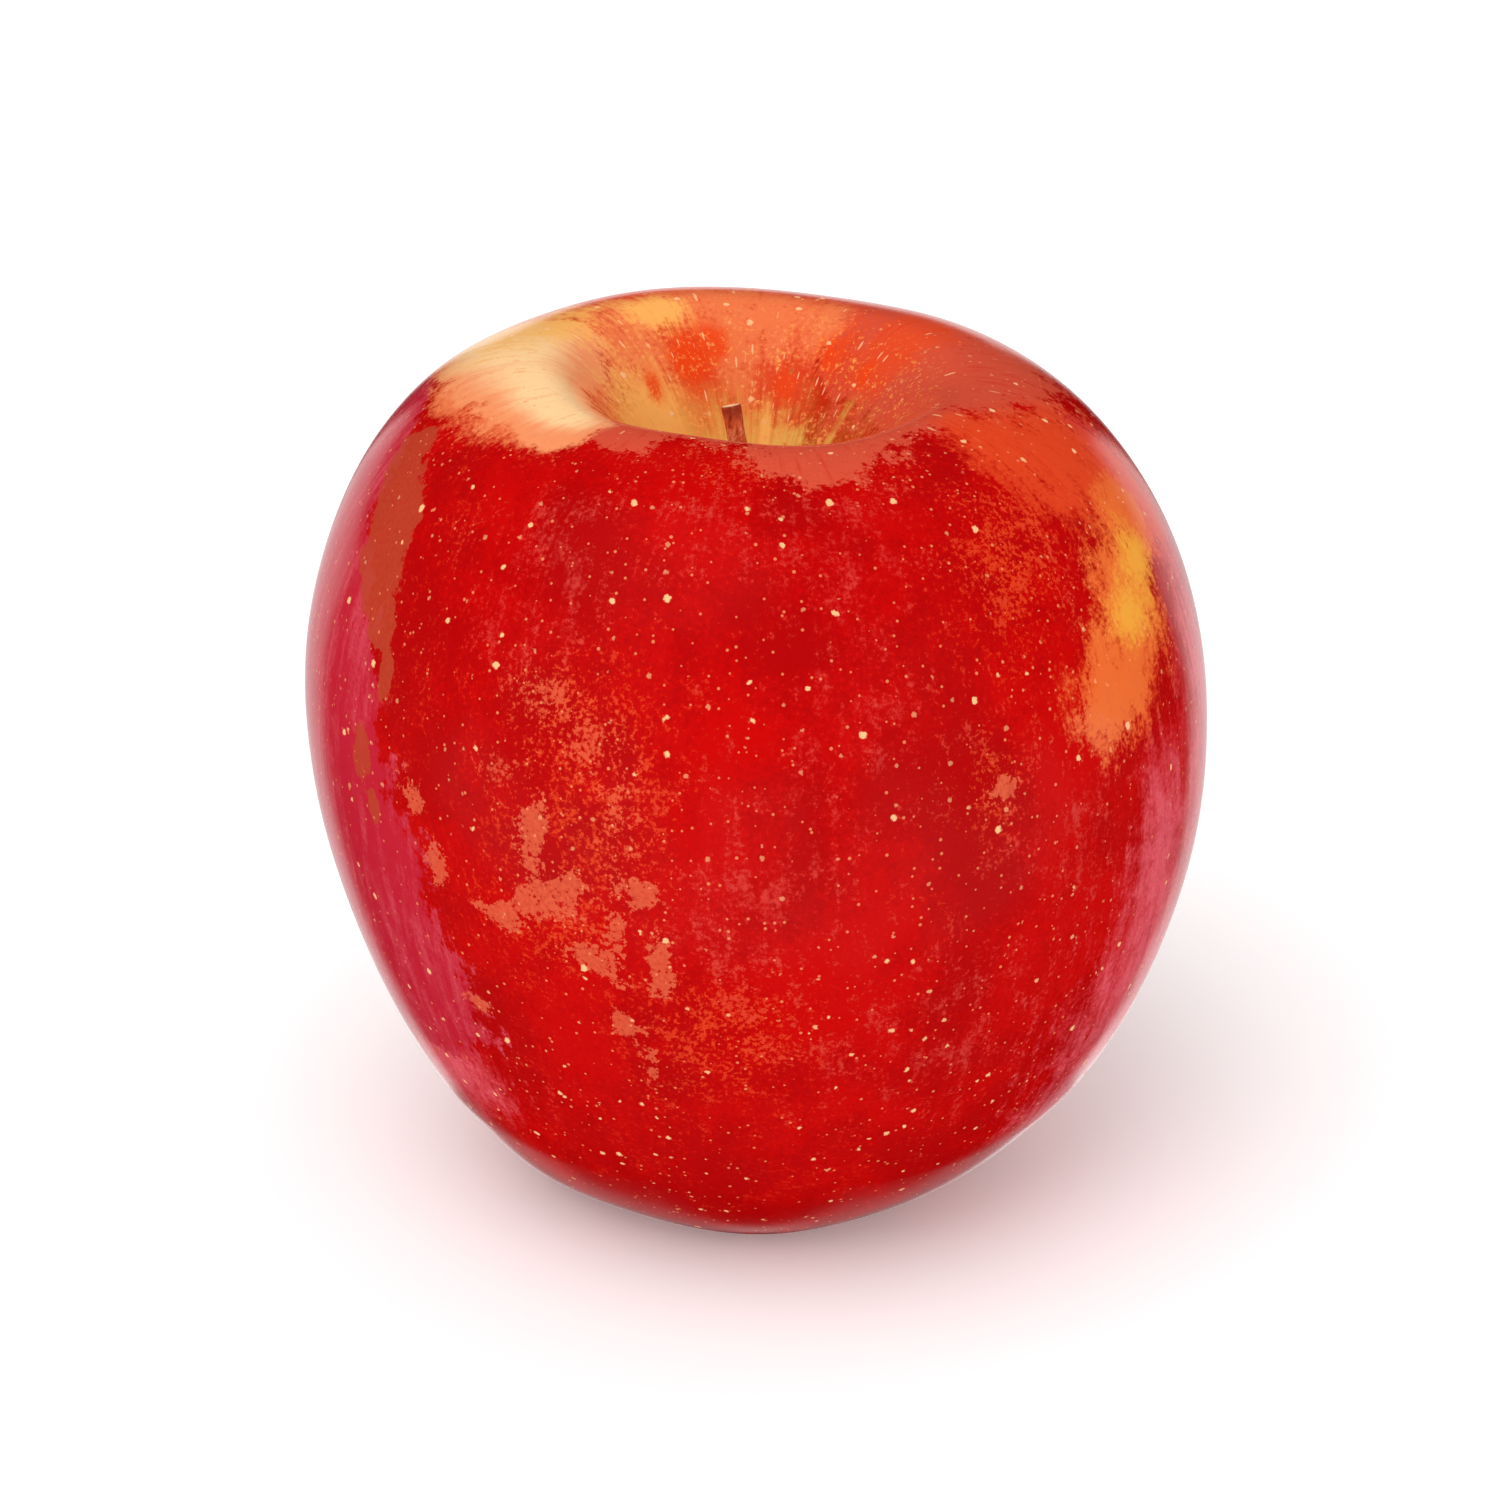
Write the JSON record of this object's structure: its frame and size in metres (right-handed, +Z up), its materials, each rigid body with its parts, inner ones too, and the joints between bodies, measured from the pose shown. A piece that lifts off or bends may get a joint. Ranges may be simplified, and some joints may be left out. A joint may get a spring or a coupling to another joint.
{
  "type": "apple",
  "caption": "Whole ripe apple with a deep stem cavity, a short leaning stem, and a dried calyx in the basin underneath; it stands on its base lobes.",
  "frame": {"origin": "on the resting surface, under the middle of the fruit's box", "axes": "+Z up the core towards the stem; -Y towards the side that shows the deepest red; +X to the right of it"},
  "size_m": [0.082, 0.082, 0.0782],
  "materials": {
    "skin": "waxy satin apple skin, red over yellow",
    "stem": "dry reddish-brown bark",
    "sepal": "dried brown leaf",
    "stamen": "dried dark-brown filaments"
  },
  "bodies": {
    "root": {"fruit": "skin", "stem": "stem", "sepal_1": "sepal", "sepal_2": "sepal", "sepal_3": "sepal", "sepal_4": "sepal", "sepal_5": "sepal", "stamen_tuft": "stamen"}
  },
  "joints": []
}
